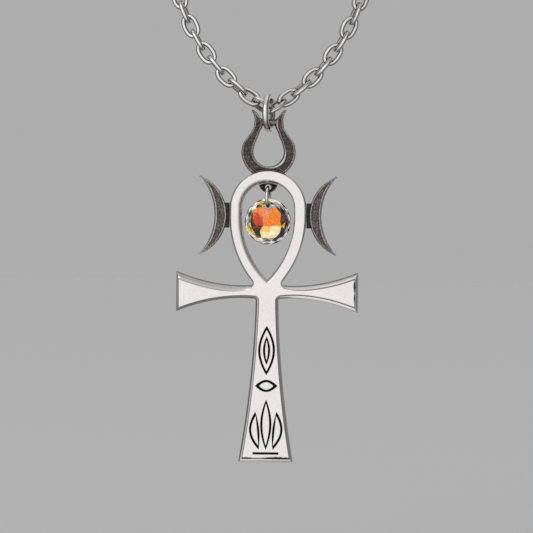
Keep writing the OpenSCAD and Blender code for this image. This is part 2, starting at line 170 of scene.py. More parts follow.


# Metal whose colour runs from its recesses to its worn rims along the mesh's values of painted shade and
# wear, which also paint highlights, dark reflection lines and shade
def metal(look):
    material, tree, surface = blank(look["name"])
    base = look.get("base") or node(tree, "ShaderNodeAttribute", {"attribute_name": "rim"}).outputs["Fac"]
    grain = node(tree, "ShaderNodeGroup", {
        "node_tree": grainTree, "Base": base, "Grain size": look["grain"], "Blotch size": look["blotch"],
        "Bump": look["bump"], "Mottle": look["mottle"], "Speckle": look["speckle"]}).outputs
    value = grain["Shade"]
    for shadePatch in look.get("shadePatches", ()):
        value = darkened(tree, value, shadePatch)
    rough = node(tree, "ShaderNodeMapRange", {
        "Value": grain["Blotches"], "To Min": look["rough"][0], "To Max": look["rough"][1]})
    feed(tree, surface, {
        "Base Color": ramp(tree, value, look["shades"]), "Roughness": rough.outputs["Result"],
        "Normal": grain["Normal"], "Metallic": 1.0})
    return material


brightPewter = metal({
    "name": "brightPewter", "grain": 2600.0, "blotch": 260.0, "bump": 0.18, "mottle": 0.16, "speckle": 0.28,
    "rough": (0.17, 0.27),
    "shades": [(0.0, (0.035, 0.034, 0.034)), (0.3, (0.3, 0.295, 0.295)), (0.6, (0.64, 0.625, 0.62)),
               (1.0, (0.93, 0.888, 0.883))],
    # Patches of painted shade that deepen the dark lines at the right arm's end and along the foot
    "shadePatches": [{"at": (18.5, -1.5, 1.3), "reach": (0.34, 2.0, 1.5), "depth": 2.6},
               {"at": (18.5, -1.5, -1.2), "reach": (0.26, 2.0, 1.1), "depth": 2.6},
               {"at": (2.4, -1.5, -35.15), "reach": (3.6, 2.0, 0.34), "depth": 3.0},
               {"at": (-4.0, -1.5, -35.15), "reach": (1.4, 2.0, 0.24), "depth": 2.0}]})
darkPewter = metal({
    "name": "darkPewter", "grain": 3000.0, "blotch": 700.0, "bump": 0.9, "mottle": 0.25, "speckle": 0.9,
    "rough": (0.3, 0.46),
    "shades": [(0.0, (0.012, 0.01, 0.009)), (0.3, (0.085, 0.067, 0.062)), (0.62, (0.3, 0.275, 0.268)),
               (1.0, (0.8, 0.775, 0.765))]})
silver = {
    "grain": 2200.0, "blotch": 400.0, "bump": 0.06, "mottle": 0.12, "speckle": 0.12, "rough": (0.08, 0.17),
    "shades": [(0.0, (0.034, 0.029, 0.025)), (0.5, (0.29, 0.276, 0.262)), (1.0, (0.9, 0.895, 0.89))]}
ringSilver = metal({**silver, "name": "ringSilver"})
chainSilver = metal({**silver, "name": "chainSilver", "rough": (0.1, 0.2)})
claspSilver = metal({**silver, "name": "claspSilver", "base": 0.86, "rough": (0.14, 0.3)})
print("stage: metals ready")


def blackLine():
    material, tree, surface = blank("engravedBlack")
    shade = ramp(tree, noise(tree, objectPlace(tree), size=1400.0),
                 [(0.3, (0.003, 0.003, 0.003)), (0.75, (0.014, 0.013, 0.013))])
    feed(tree, surface, {"Base Color": shade, "Roughness": 0.6, "Specular IOR Level": 0.06})
    return material


engravedBlack = blackLine()


# Mesh helpers
def unit(v):
    return v / v.length


# Smooth curve through points, whose slope at each point follows its two neighbours
def smooth(points, steps):
    p = [Vector(q) for q in points]
    last = len(p) - 1

    def slope(i):
        if i == 0:
            return unit(p[1] - p[0])
        if i == last:
            return unit(p[last] - p[last - 1])
        a, b = (p[i] - p[i - 1]).length, (p[i + 1] - p[i]).length
        return unit((p[i] - p[i - 1]) / a * b + (p[i + 1] - p[i]) / b * a)

    made = []
    for i in range(last):
        span = p[i + 1] - p[i]
        u, v = slope(i) * span.length, slope(i + 1) * span.length
        for k in range(steps):
            t = k / steps
            made.append(p[i] + u * t + (3 * span - 2 * u - v) * t ** 2 + (u + v - 2 * span) * t ** 3)
    return made + [p[last]]


def arc(centre, r, start, stop, step=3.0):
    n = max(1, math.ceil(abs(stop - start) / step))
    turns = [math.radians(start + (stop - start) * i / n) for i in range(n + 1)]
    return [Vector((centre[0] + r * math.cos(a), centre[1] + r * math.sin(a))) for a in turns]


# Closed outline moved inwards by its own distance at each edge, its points against the clock
def inset(points, widths):
    n = len(points)
    made = []
    for i in range(n):
        e = unit(points[i] - points[i - 1])
        f = unit(points[(i + 1) % n] - points[i])
        nE, nF = Vector((-e.y, e.x)), Vector((-f.y, f.x))
        wE, wF = widths[i - 1], widths[i]
        cross = nE.x * nF.y - nE.y * nF.x
        # Along a gentle bend the mean of both distances keeps the point beside its own place
        if abs(cross) < 0.5:
            m = nE + nF
            made.append(points[i] + m * ((wE + wF) / m.length_squared))
        else:
            made.append(points[i] + Vector((wE * nF.y - wF * nE.y, wF * nE.x - wE * nF.x)) / cross)
    return made


def addObject(name, data):
    made = bpy.data.objects.new(name, data)
    bpy.context.scene.collection.objects.link(made)
    return made


# The mesh that an object's modifiers leave
def evaluatedMesh(made):
    bpy.context.view_layer.update()
    graph = bpy.context.evaluated_depsgraph_get()
    return bpy.data.meshes.new_from_object(made.evaluated_get(graph))


def pointOutwards(mesh):
    work = bmesh.new()
    work.from_mesh(mesh)
    bmesh.ops.recalc_face_normals(work, faces=work.faces)
    work.to_mesh(mesh)
    work.free()


def rimMesh(name, verts, faces, rims):
    mesh = bpy.data.meshes.new(name)
    mesh.from_pydata(verts, [], faces)
    mesh.attributes.new("rim", "FLOAT", "POINT").data.foreach_set("value", rims)
    return mesh


def rawMesh(name, verts, faces, rims, materials=()):
    mesh = rimMesh(name, verts, faces, rims)
    pointOutwards(mesh)
    for material in materials:
        mesh.materials.append(material)
    return addObject(name, mesh)


# Makes an object in millimetres, where cuts are reliable, and then moves it into the frame
def finishMesh(name, verts, faces, rims, body, materials, sharp=35.0, cuts=()):
    made = rawMesh(name, verts, faces, rims, materials)
    for cutter in cuts:
        cutAway(made, cutter)
    settle(made, sharp)
    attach(made, body)
    return made


def settle(made, sharp):
    made.data.transform(Matrix.Translation(layoutOrigin * mm) @ Matrix.Scale(mm, 4))
    made.data.shade_smooth()
    made.data.set_sharp_from_angle(angle=math.radians(sharp))


# Cuts one mesh from another and leaves the plain result, with no modifier on it
def cutAway(target, cutter):
    step = target.modifiers.new("cut", "BOOLEAN")
    step.operation = "DIFFERENCE"
    step.solver = "EXACT"
    step.object = cutter
    step.material_mode = "TRANSFER"
    mesh = evaluatedMesh(target)
    target.modifiers.remove(step)
    target.data = mesh
    bpy.data.objects.remove(cutter)


# Quads between rows of points, closed along each row. The last row meets the first, or both are
# capped, where asked.
def gridFaces(rows, length, start=0, closed=False, capped=False):
    faces = []
    for i in range(rows if closed else rows - 1):
        a, b = start + i * length, start + (i + 1) % rows * length
        for j in range(length):
            k = (j + 1) % length
            faces.append((a + j, b + j, b + k, a + k))
    if capped:
        faces += [tuple(range(i, i + length)) for i in (start, start + (rows - 1) * length)]
    return faces


# Triangles that fill the flat area between loops of points
def capFaces(verts, loops):
    flat = [[Vector((verts[i][0], verts[i][2], 0)) for i in loop] for loop in loops]
    corners = [i for loop in loops for i in loop]
    return [tuple(corners[i] for i in tri) for tri in geometry.tessellate_polygon(flat)]


# Flat piece within outlines and round holes, each given with its rows from the front to the back.
# A row has a distance inwards, a place along Y and a painted shade and wear value for each point of its
# outline.
def plate(loops):
    verts, faces, rims, fronts, backs = [], [], [], [], []
    for outline, rows in loops:
        m, start = len(outline), len(verts)
        for distances, ys, shades in rows:
            verts += [(p.x, y, p.y) for p, y in zip(inset(outline, distances), ys)]
            rims += shades
        faces += gridFaces(len(rows), m, start)
        fronts.append(range(start, start + m))
        backs.append(range(len(verts) - m, len(verts)))
    return verts, faces + capFaces(verts, fronts) + capFaces(verts, backs), rims


# Plain rod along X or Y, as points, faces and painted shade and wear values
def rod(axis, centre, r, half, rim, segments):
    verts = []
    for way in (-half, half):
        for k in range(segments):
            a = 2 * math.pi * k / segments
            u, v = r * math.cos(a), r * math.sin(a)
            verts.append(Vector(centre) + Vector((way, u, v) if axis == "X" else (u, way, v)))
    return verts, gridFaces(2, segments, capped=True), [rim] * len(verts)


# Ankh
ankh = {
    "t": 3.0, "sideT": 1.0, "armSpan": 38.6, "armEndH": 8.6, "armRootH": 2.7, "armRootX": 5.3,
    "shaftL": 36.1, "shaftTopW": 4.8, "shaftBaseW": 11.6, "shaftTaper": 0.2, "cornerR": 0.4,
    "band": 2.65, "loopInR": 5.5, "loopRise": 17.75, "loopSide": 1.9, "loopFoot": 2.55,
    # Width and profile of the bevels, which differ from edge to edge on the hand-finished casting
    "bevels": {"leftTop": (1.5, "dull"), "rightTop": (1.2, "crisp"), "leftLow": (0.62, "crisp"),
               "rightLow": (1.0, "flat"), "leftEnd": (0.6, "crisp"), "rightEnd": (0.85, "crisp"),
               "shaft": (0.72, "crisp"), "foot": (1.05, "flat"), "loopOut": (0.45, "soft"),
               "join": (0.3, "soft")},
    # The inner bevel turns from one width to the other within this distance of the middle
    "innerBevels": {"left": 1.0, "right": 0.32, "turnX": 3.5},
    # How often the widths and the profiles are averaged with their neighbours'
    "widthRounds": 4, "profileRounds": 8,
    # Steps along the edges, each longer than the bevels at its ends, so that no bevel folds over,
    # and the turn of each step round the loop
    "armSteps": 11, "shaftSteps": 24, "loopStep": 1.2,
    # How far the shaft's and the loop's first steps stay clear of the rounded corners, in their sizes
    "shaftClear": 1.6, "loopClear": 1.2,
    # Each from the side wall over the bevel to the face: share of the bevel's width, share of its
    # height, and a value that paints highlights and dark reflection lines along the wall and the bevel
    "wall": [(0.0, -0.4, 0.85), (0.0, -0.15, 0.75), (0.0, 0.0, 0.15)],
    "profiles": {
        "crisp": [(0.05, 0.22, 0.3), (0.15, 0.42, 0.42), (0.3, 0.58, 0.65), (0.52, 0.74, 1.0),
                  (0.7, 0.84, 0.8), (0.8, 0.87, 0.2), (0.91, 0.89, 0.2), (0.96, 0.94, 0.65),
                  (1.0, 1.0, 0.95), (1.1, 1.0, 0.95)],
        "dull": [(0.05, 0.22, 0.3), (0.15, 0.42, 0.46), (0.3, 0.58, 0.62), (0.5, 0.72, 0.55),
                 (0.68, 0.83, 0.66), (0.8, 0.89, 0.6), (0.9, 0.945, 0.42), (0.96, 0.97, 0.38),
                 (1.0, 1.0, 0.97), (1.1, 1.0, 0.95)],
        "flat": [(0.04, 0.35, 0.5), (0.08, 0.6, 0.7), (0.16, 0.8, 0.85), (0.4, 0.84, 0.86),
                 (0.58, 0.875, 0.84), (0.66, 0.885, 0.1), (0.78, 0.905, 0.1), (0.88, 0.95, 0.7),
                 (1.0, 1.0, 0.97), (1.1, 1.0, 0.95)],
        "soft": [(0.05, 0.25, 0.3), (0.15, 0.48, 0.6), (0.3, 0.68, 0.8), (0.52, 0.84, 0.88),
                 (0.7, 0.92, 0.92), (0.8, 0.955, 0.93), (0.91, 0.985, 0.95), (0.96, 0.995, 0.95),
                 (1.0, 1.0, 0.95), (1.1, 1.0, 0.95)],
    },
}
faceValue = ankh["profiles"]["crisp"][-1][2]
loopR = ankh["loopInR"] + ankh["band"]
loopTop = ankh["loopRise"] + loopR
loopLow = ankh["loopRise"] - ankh["loopSide"]
armX = ankh["armSpan"] / 2
sideInR = (ankh["loopInR"] ** 2 + (loopLow - ankh["loopFoot"]) ** 2) / 2 / ankh["loopInR"]
sideR = sideInR + ankh["band"]
sideX = ankh["loopInR"] - sideInR


def armHalf(x):
    bend = (ankh["armEndH"] - ankh["armRootH"]) / 2 / (armX - ankh["armRootX"]) ** 2
    return ankh["armRootH"] / 2 + bend * (x - ankh["armRootX"]) ** 2


def shaftHalf(u):
    grow = ankh["shaftTaper"] * u + (1 - ankh["shaftTaper"]) * u ** 2
    return ankh["shaftTopW"] / 2 + (ankh["shaftBaseW"] - ankh["shaftTopW"]) / 2 * grow


def corner(c, u, v, r):
    half = math.acos(u.dot(v)) / 2
    m = c + unit(u + v) * r / math.sin(half)
    a, b = c + u * r / math.tan(half), c + v * r / math.tan(half)
    return [m + unit((a - m) * (6 - k) + (b - m) * k) * r for k in range(7)]


# Right side of the outline from the foot up to the top of the loop, with a name for each edge
def rightSide():
    r = ankh["cornerR"]
    shaftX = shaftHalf(0)
    shaftZ = -armHalf(shaftX)
    footX = ankh["armRootX"]
    for _ in range(12):
        footX = sideX + math.sqrt(sideR ** 2 - (loopLow - armHalf(footX)) ** 2)
    footZ = armHalf(footX)
    footTurn = math.asin((loopLow - footZ) / sideR)
    footWay = Vector((math.sin(footTurn), math.cos(footTurn)))
    footBack = r / math.tan(math.acos(footWay.x) / 2)
    points = []

    def add(name, more):
        points.extend((p, name) for p in more)

    n, m = ankh["armSteps"], ankh["shaftSteps"]
    shaft = [1 - k / m * (1 - ankh["shaftClear"] * r / ankh["shaftL"]) for k in range(m + 1)]
    add("shaft", [Vector((shaftHalf(u), shaftZ - (ankh["shaftL"] + shaftZ) * u)) for u in shaft])
    add("shaft", corner(Vector((shaftX, shaftZ)), Vector((0, -1)), Vector((1, 0)), r))
    low = [shaftX + r + (armX - shaftX - r) * k / n for k in range(1, n + 1)]
    add("Low", [Vector((x, -armHalf(x))) for x in low])
    points[-1] = (points[-1][0], "End")
    high = [footX + footBack + (armX - footX - footBack) * k / n for k in range(n, 0, -1)]
    add("Top", [Vector((x, armHalf(x))) for x in high])
    add("join", corner(Vector((footX, footZ)), Vector((1, 0)), footWay, r))
    start = math.degrees(ankh["loopClear"] * footBack / sideR - footTurn)
    add("loopOut", arc((sideX, loopLow), sideR, start, 0, ankh["loopStep"]))
    add("loopOut", arc((0, ankh["loopRise"]), loopR, 0, 90))
    return points


# Both sides as one closed outline, with the width and the profile of the bevel at each of its edges
def wholeOutline():
    right = rightSide()
    kept = [right[0]] + [b for a, b in zip(right, right[1:]) if (a[0] - b[0]).length > 1e-4]
    points = [p for p, _ in kept]
    names = [n for _, n in kept]
    mirrored = [Vector((-p.x, p.y)) for p in reversed(points[:-1])]
    bevels = ankh["bevels"]
    edges = [bevels.get(n, bevels.get("right" + n)) for n in names[:-1]]
    edges += [bevels.get(n, bevels.get("left" + n)) for n in reversed(names[:-1])] + [bevels["foot"]]
    return points + mirrored, edges


def softened(widths, fixed, rounds):
    for _ in range(rounds):
        widths = [w if i in fixed else (widths[i - 1] + w + widths[(i + 1) % len(widths)]) / 3
                  for i, w in enumerate(widths)]
    return widths


def innerOutline():
    bottom = -math.degrees(math.asin((loopLow - ankh["loopFoot"]) / sideInR))
    right = arc((sideX, loopLow), sideInR, bottom, 0, ankh["loopStep"])
    right += arc((0, ankh["loopRise"]), ankh["loopInR"], 0, 90)[1:]
    points = right + [Vector((-p.x, p.y)) for p in reversed(right[1:-1])]
    w = ankh["innerBevels"]
    shares = [0.5 + 0.5 * max(-1, min(1, p.x / w["turnX"])) for p in points]
    return points, [w["left"] + (w["right"] - w["left"]) * share for share in shares]


def buildAnkh():
    outer, edges = wholeOutline()
    n = len(outer)
    tips = {i for i in range(n) if max(abs(outer[i].x), abs(outer[(i + 1) % n].x)) > armX - 0.01}
    tips |= {n - 1, 0, n - 2}
    outerW = softened([w for w, _ in edges], tips, ankh["widthRounds"])
    # A point has the profile of the edge after it, and the profiles run over into each other
    outerMix = {k: softened([float(kind == k) for _, kind in edges], tips, ankh["profileRounds"])
                for k in ankh["profiles"]}
    inner, innerW = innerOutline()
    innerMix = {"soft": [1.0] * len(inner)}
    s, h = ankh["sideT"] / 2, (ankh["t"] - ankh["sideT"]) / 2
    kinds = {k: ankh["wall"] + rows for k, rows in ankh["profiles"].items()}
    depth = len(kinds["soft"])
    order = [(-1, i) for i in reversed(range(depth))] + [(1, i) for i in range(depth)]
    loops = []
    for outline, widths, mix, sign in ((outer, outerW, outerMix, 1), (inner, innerW, innerMix, -1)):
        rows = []
        for way, i in order:
            share, up, rim = ([sum(mix[k][j] * kinds[k][i][part] for k in mix) for j in range(len(outline))]
                              for part in range(3))
            rows.append(([sign * a * w for a, w in zip(share, widths)], [way * (s + h * v) for v in up], rim))
        loops.append((outline, rows))
    verts, faces, rims = plate(loops)
    made = finishMesh("ankhBody", verts, faces, rims, "pendant",
                      [brightPewter, engravedBlack], cuts=engraving())
    # The cuts leave the painted shade values unset at their own corners on the front face
    frontY = (layoutOrigin.y - ankh["t"] / 2 + 0.001) * mm
    for vertex, mark in zip(made.data.vertices, made.data.attributes["rim"].data):
        if vertex.co.y < frontY:
            mark.value = faceValue
    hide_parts("ankh")
    return made


# Engraved ornament of plain leaves and a bar. A leaf has its foot, its tip, its width and how
# far it bends to the side. A line has its points.
ornament = {
    # Each cut's floor lies a little higher than the one before, so that no two are in one plane
    "depth": 0.3, "floorStep": 0.004, "above": 0.3, "lineW": 0.5,
    # A leaf's tips run on by this many margins, and its sides are this blunt
    "tipOn": 1.8, "blunt": 0.9,
    "leaves": [
        {"foot": (0, -17.2), "tip": (0, -7.6), "w": 3.1, "bend": 0},
        {"foot": (0, -15.0), "tip": (0, -9.8), "w": 1.05, "bend": 0},
        {"foot": (-1.95, -19.9), "tip": (1.95, -19.9), "w": 2.1, "bend": 0},
        {"foot": (0, -33.0), "tip": (0, -23.2), "w": 1.9, "bend": 0},
        {"foot": (-1.5, -33.0), "tip": (-2.2, -25.8), "w": 1.7, "bend": -0.6},
        {"foot": (1.5, -33.0), "tip": (2.2, -25.8), "w": 1.7, "bend": 0.6},
    ],
    "lines": [[(-2.75, -34.2), (2.75, -34.2)]],
}


# Outline of a leaf, grown by a margin on every side
def leafOutline(leaf, margin, steps=12):
    foot, tip = Vector(leaf["foot"]), Vector(leaf["tip"])
    way = unit(tip - foot)
    foot, tip = foot - way * ornament["tipOn"] * margin, tip + way * ornament["tipOn"] * margin
    side = Vector((way.y, -way.x))
    points = []
    for k in range(2 * steps):
        t = k / steps if k < steps else 2 - k / steps
        wide = (leaf["w"] / 2 + margin) * math.sin(math.pi * t) ** ornament["blunt"]
        off = (wide if k < steps else -wide) + 4 * leaf["bend"] * t * (1 - t)
        points.append(foot.lerp(tip, t) + side * off)
    return points


# Cutter between pairs of points, which is a ring if it is closed
def bandCutter(index, pairs, closed):
    front = -ankh["t"] / 2 - ornament["above"]
    floor = -ankh["t"] / 2 + ornament["depth"] - ornament["floorStep"] * index
    verts = []
    for p, q in pairs:
        verts += [(p.x, front, p.y), (p.x, floor, p.y), (q.x, floor, q.y), (q.x, front, q.y)]
    faces = gridFaces(len(pairs), 4, closed=closed, capped=not closed)
    made = rawMesh("line%d" % index, verts, faces, [faceValue] * len(verts), [brightPewter, engravedBlack])
    for polygon in made.data.polygons:
        polygon.material_index = 1
    return made


def engraving():
    half = ornament["lineW"] / 2
    cutters = []
    for leaf in ornament["leaves"]:
        pairs = list(zip(leafOutline(leaf, half), leafOutline(leaf, -half)))
        cutters.append(bandCutter(len(cutters), pairs, True))
    for start, stop in ornament["lines"]:
        a, b = Vector(start), Vector(stop)
        across = Vector((a.y - b.y, b.x - a.x)) / (b - a).length * half
        cutters.append(bandCutter(len(cutters), [(a + across, a - across), (b + across, b - across)], False))
    return cutters


ankhBody = buildAnkh()
print("stage: ankh", len(ankhBody.data.polygons))

# Dark cast pieces
darkBar = {
    # Share of the bevel's width, share of its height, and a value of painted shade and wear: worn rims with
    # painted highlights, and a dark painted line towards the face
    "profile": [(0.0, 0.0, 0.25), (0.07, 0.3, 0.4), (0.17, 0.6, 0.62), (0.35, 0.88, 0.9),
                (0.54, 1.0, 0.82), (0.66, 0.98, 0.48), (0.78, 0.94, 0.15), (1.0, 0.95, 0.28)],
    # Narrow stretches, as at the tips, get this bright value of wear and painted highlight
    "tipHighlightAndWear": 0.7,
    # Most of a section's width that its even bevel and its widened one may take
    "most": 0.42, "wornMost": 0.5,
}


# Bevelled bar between two edges, given as pairs of points, flatter where it is narrow. The second
# edge's bevel is wider by the growth of each pair.
def bevelledBar(pairs, growths, t, sideT, bevel):
    verts, rims = [], []
    for (p, q), growth in zip(pairs, growths):
        e = unit(q - p)
        b = min(bevel, darkBar["most"] * (q - p).length)
        wide = min(b + growth, darkBar["wornMost"] * (q - p).length)
        s = sideT / 2
        h = (t / 2 - s) * b / bevel
        # Narrow stretches get a brighter value of wear and painted highlight
        worn = [(w, v, r + (darkBar["tipHighlightAndWear"] - r) * (1 - b / bevel)) for w, v, r in darkBar["profile"]]
        row = [(p + e * b * w, s + h * v, r) for w, v, r in worn]
        row += [(q - e * wide * w, s + h * v, r) for w, v, r in reversed(worn)]
        for point, y, rim in row:
            verts.append((point.x, -y, point.y))
            rims.append(rim)
        for point, y, rim in reversed(row):
            verts.append((point.x, y, point.y))
            rims.append(rim)
    return verts, gridFaces(len(pairs), 4 * len(darkBar["profile"]), capped=True), rims


def darkPiece(name, verts, faces, rims, cuts=()):
    return finishMesh(name, verts, faces, rims, "pendant", [darkPewter], cuts=cuts)


crown = {
    "w": 11.6, "openW": 6.5, "rise": 4.0, "hornH": 8.75, "t": 2.2, "sideT": 0.8, "bevel": 0.6,
    "barD": 1.4, "barValue": 0.55, "neckR": 1.3, "fit": 0.11, "underShade": 0.35, "arcStep": 5,
    # Where the inner bevel is widened, for wear and a wider painted highlight: the place from the crown's
    # middle, its reach, the growth
    "worn": [((2.4, -2.2), 2.9, 0.62), ((1.45, 6.2), 2.4, 0.5), ((-1.4, 7.4), 1.6, 0.25)],
    # Share of the horn's height, of the half width outside and of the opening inside
    "hornRows": [(0, 1, 1), (0.15, 0.955, 0.86), (0.32, 0.8, 0.555), (0.5, 0.615, 0.25), (0.63, 0.545, 0.02),
                 (0.72, 0.53, 0.03), (0.83, 0.54, 0.33), (0.925, 0.585, 0.64), (1, 0.645, 0.93)],
    # Share of the half width outside where the bar ends
    "barAt": 0.535,
}


def buildCrown():
    z0 = loopTop + crown["rise"]
    centre = Vector((0, z0))
    pairs = []
    for a in range(0, 90, crown["arcStep"]):
        d = Vector((math.sin(math.radians(a)), -math.cos(math.radians(a))))
        pairs.append((centre + d * crown["w"] / 2, centre + d * crown["openW"] / 2))
    for r in smooth(crown["hornRows"], 8):
        z = z0 + r.x * crown["hornH"]
        inner = crown["neckR"] + r.z * (crown["openW"] / 2 - crown["neckR"])
        pairs.append((Vector((r.y * crown["w"] / 2, z)), Vector((inner, z))))
    left = [(Vector((-p.x, p.y)), Vector((-q.x, q.y))) for p, q in reversed(pairs[1:])]
    both = left + pairs
    growths = [sum(grow * max(0, 1 - (q - centre - Vector(at)).length / reach)
                   for at, reach, grow in crown["worn"]) for _, q in both]
    band = bevelledBar(both, growths, crown["t"], crown["sideT"], crown["bevel"])
    # The cutter's low value paints shade on the crown's underside, where it meets the loop
    under = rod("Y", (0, 0, ankh["loopRise"]), loopR + crown["fit"], half=2 * crown["t"],
                rim=crown["underShade"], segments=160)
    return darkPiece("crownBody", *band, cuts=[rawMesh("underCrown", *under)])


def buildCrownBar():
    half = crown["barAt"] * crown["w"] / 4 + crown["neckR"] / 2
    bar = rod("X", (0, 0, barZ), crown["barD"] / 2, half, crown["barValue"], segments=32)
    darkPiece("crownBar", *bar)


crownBody = buildCrown()
buildCrownBar()
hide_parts("horned_crown")

# Eyelet
eyelet = {
    "r": 2.0, "t": 1.0, "wall": 0.45, "holeR": 0.65, "holeSteps": 40,
    # Places across the roof, where the lug meets the loop
    "roofX": (1.5, 0.9, 0.3, -0.3, -0.9, -1.5),
    # Distance inwards, share of the half thickness, and a value that is low all over, painted shade that
    # keeps the lug dark
    "edgeRows": [(0.0, 0.72, 0.05), (0.05, 0.9, 0.2), (0.14, 1.0, 0.45), (0.24, 0.93, 0.12),
                 (0.3, 0.78, 0.02)],
    "holeRows": [(0.0, 0.8, 0.02), (-0.07, 1.0, 0.2), (-0.15, 0.96, 0.3), (-0.2, 0.78, 0.04)],
}
eyeletZ = ankh["loopRise"] + ankh["loopInR"] - crown["fit"]
eyeletHoleZ = eyeletZ - eyelet["r"] + eyelet["wall"] + eyelet["holeR"]


def roofZ(x):
    return ankh["loopRise"] + math.sqrt((ankh["loopInR"] - crown["fit"]) ** 2 - x ** 2)


# Half-round lug with raised rims round its edge and round its hole
def buildEyelet():
    outline = [p for p in arc((0, eyeletZ), eyelet["r"], 180, 360, 6) if p.y < roofZ(p.x)]
    outline += [Vector((x, roofZ(x))) for x in eyelet["roofX"]]
    hole = arc((0, eyeletHoleZ), eyelet["holeR"], 0, 360, 360 / eyelet["holeSteps"])[:-1]
    half = eyelet["t"] / 2
    loops = []
    for loop, rows in ((outline, eyelet["edgeRows"]), (hole, eyelet["holeRows"])):
        m = len(loop)
        both = [(d, -half * v, r) for d, v, r in reversed(rows)] + [(d, half * v, r) for d, v, r in rows]
        loops.append((loop, [([d] * m, [y] * m, [r] * m) for d, y, r in both]))
    darkPiece("eyeletLug", *plate(loops))


buildEyelet()
print("stage: crown")

# Crescents
moon = {
    "h": 16.8, "w": 2.6, "bow": 5.9, "gap": 0.6, "drop": 1.5, "t": 2.2, "sideT": 0.8, "bevel": 0.6,
    "tipW": 0.4, "saddleH": 5.3, "saddleT": 1.4, "saddleFit": 0.05, "saddleEase": 0.22, "saddleShade": 0.12,
    # Sections along a crescent, even up to this share of its height, and the share where its tips lie
    "sections": 49, "evenTo": 0.96, "tipAt": 0.985,
    # How much wider the bevel of the hollow edge is, and how much brighter a crescent is than the crown
    "growth": 0.2, "lift": 0.07,
}
moonZ = ankh["loopRise"] - moon["drop"]


def buildMoon(name, side, nodeName):
    x0 = loopR + moon["gap"]
    inR = (moon["bow"] ** 2 + (moon["h"] / 2) ** 2) / 2 / moon["bow"]
    thin = moon["bow"] - moon["w"]
    outR = (thin ** 2 + (moon["h"] / 2) ** 2) / 2 / thin
    step = 2 * moon["evenTo"] / (moon["sections"] - 1)
    shares = [moon["evenTo"] - step * k for k in range(moon["sections"])]
    pairs = []
    for u in [moon["tipAt"], *shares, -moon["tipAt"]]:
        a, b = u * math.asin(moon["h"] / 2 / inR), u * math.asin(moon["h"] / 2 / outR)
        p = Vector((side * (x0 + inR * (1 - math.cos(a))), moonZ + inR * math.sin(a)))
        q = Vector((side * (x0 + moon["w"] + outR * (1 - math.cos(b))), moonZ + outR * math.sin(b)))
        spare = max(0, moon["tipW"] - (q - p).length) / 2
        pairs.append((p - unit(q - p) * spare, q + unit(q - p) * spare))
    growths = [moon["growth"]] * len(pairs)
    verts, faces, rims = bevelledBar(pairs, growths, moon["t"], moon["sideT"], moon["bevel"])
    made = darkPiece(name, verts, faces, [rim + moon["lift"] for rim in rims])
    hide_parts(nodeName)


# Saddle between a crescent and the loop, its front and back edges eased
def buildSaddle(name, side):
    x1, x2 = loopR + moon["saddleFit"], loopR + moon["gap"] + moon["w"] / 2
    y, z, e = moon["saddleT"] / 2, moon["saddleH"] / 2, moon["saddleEase"]
    ring = [(-y + e, -z), (y - e, -z), (y, -z + e), (y, z - e),
            (y - e, z), (-y + e, z), (-y, z - e), (-y, -z + e)]
    verts = [(side * x, a, moonZ + b) for x in (x1, x2) for a, b in ring]
    # The saddle's low value is painted shade, which keeps it dark between the crescent and the loop
    darkPiece(name, verts, gridFaces(2, 8, capped=True), [moon["saddleShade"]] * 16)


buildMoon("moonLeft", -1, "moon_left")
buildMoon("moonRight", 1, "moon_right")
buildSaddle("saddleLeft", -1)
buildSaddle("saddleRight", 1)
print("stage: crescents")

# Rings
rings = {
    "bail": {"r": 3.5, "wire": 1.3, "turn": 13.0, "around": 96, "across": 32, "body": "necklace",
             "node": "jump_ring"},
    "crystalRing": {"r": 2.0, "wire": 0.7, "turn": 9.0, "around": 64, "across": 20, "body": "pendant",
                    "node": "crystal_ring"},
}


# Painted shade on a polished wire: a little darker towards its ring's middle, with a thin dark painted
# reflection line at each side
wireLook = {"value": 0.97, "inside": 0.42, "line": 0.62, "lineAt": 0.72, "lineW": 0.11}


def wireShade(t):
    dark = wireLook["inside"] * max(0, -math.cos(t)) ** 3
    off = (abs(math.sin(t)) - wireLook["lineAt"]) / wireLook["lineW"]
    return wireLook["value"] - dark - wireLook["line"] * math.exp(-off ** 2)


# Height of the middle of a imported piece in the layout
def middleZ(nodeName):
    low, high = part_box(nodeName)
    return (low.z + high.z) / 2 / mm - layoutOrigin.z


def buildRing(name, facts):
    turned = Matrix.Rotation(math.radians(-facts["turn"]), 3, "Z")
    z = middleZ(facts["node"])
    verts, rims = [], []
    for i in range(facts["around"]):
        a = 2 * math.pi * i / facts["around"]
        for j in range(facts["across"]):
            b = 2 * math.pi * j / facts["across"]
            d = facts["r"] + facts["wire"] / 2 * math.cos(b)
            point = Vector((facts["wire"] / 2 * math.sin(b), d * math.sin(a), d * math.cos(a)))
            verts.append(turned @ point + Vector((0, 0, z)))
            rims.append(wireShade(b))
    faces = gridFaces(facts["around"], facts["across"], closed=True)
    made = finishMesh(name, verts, faces, rims, facts["body"], [ringSilver])
    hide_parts(facts["node"])


for name, facts in rings.items():
    buildRing(name, facts)
print("stage: rings")

# Chain
chain = {
    "linkL": 5.45, "linkW": 3.7, "wire": 1.0, "squareness": 2.35, "around": 32, "across": 16,
    "twist": 34.0, "share": 0.7, "step": 0.45, "neckY": 60.0, "fit": 0.11,
    # The play in each link, in fits, and how far the clasp's eyes are sunk into its body
    "play": 1.2, "claspL": 8.0, "eyeR": 1.6, "eyeSunk": 0.2,
    "route": [
        (0, 0, 0), (6.1, 0, 4.1), (11.4, 0, 9.3), (15.7, 0, 15.4), (18.7, 0, 22.1), (21.8, 0.4, 32.6),
        (26, 2, 48.4), (31, 5, 64), (38, 12, 86), (46, 24, 108), (53, 42, 126), (56, 62, 138), (53, 84, 147),
        (43, 102, 152), (25, 113.5, 155.5), (9, 116, 156), (0, 116, 156)],
}
vertexZ = -layoutOrigin.z - chain["route"][-1][2]


# Lengths along a line from its start to each of its points
def reaches(line):
    reach = [0.0]
    for a, b in zip(line, line[1:]):
        reach.append(reach[-1] + (b - a).length)
    return reach


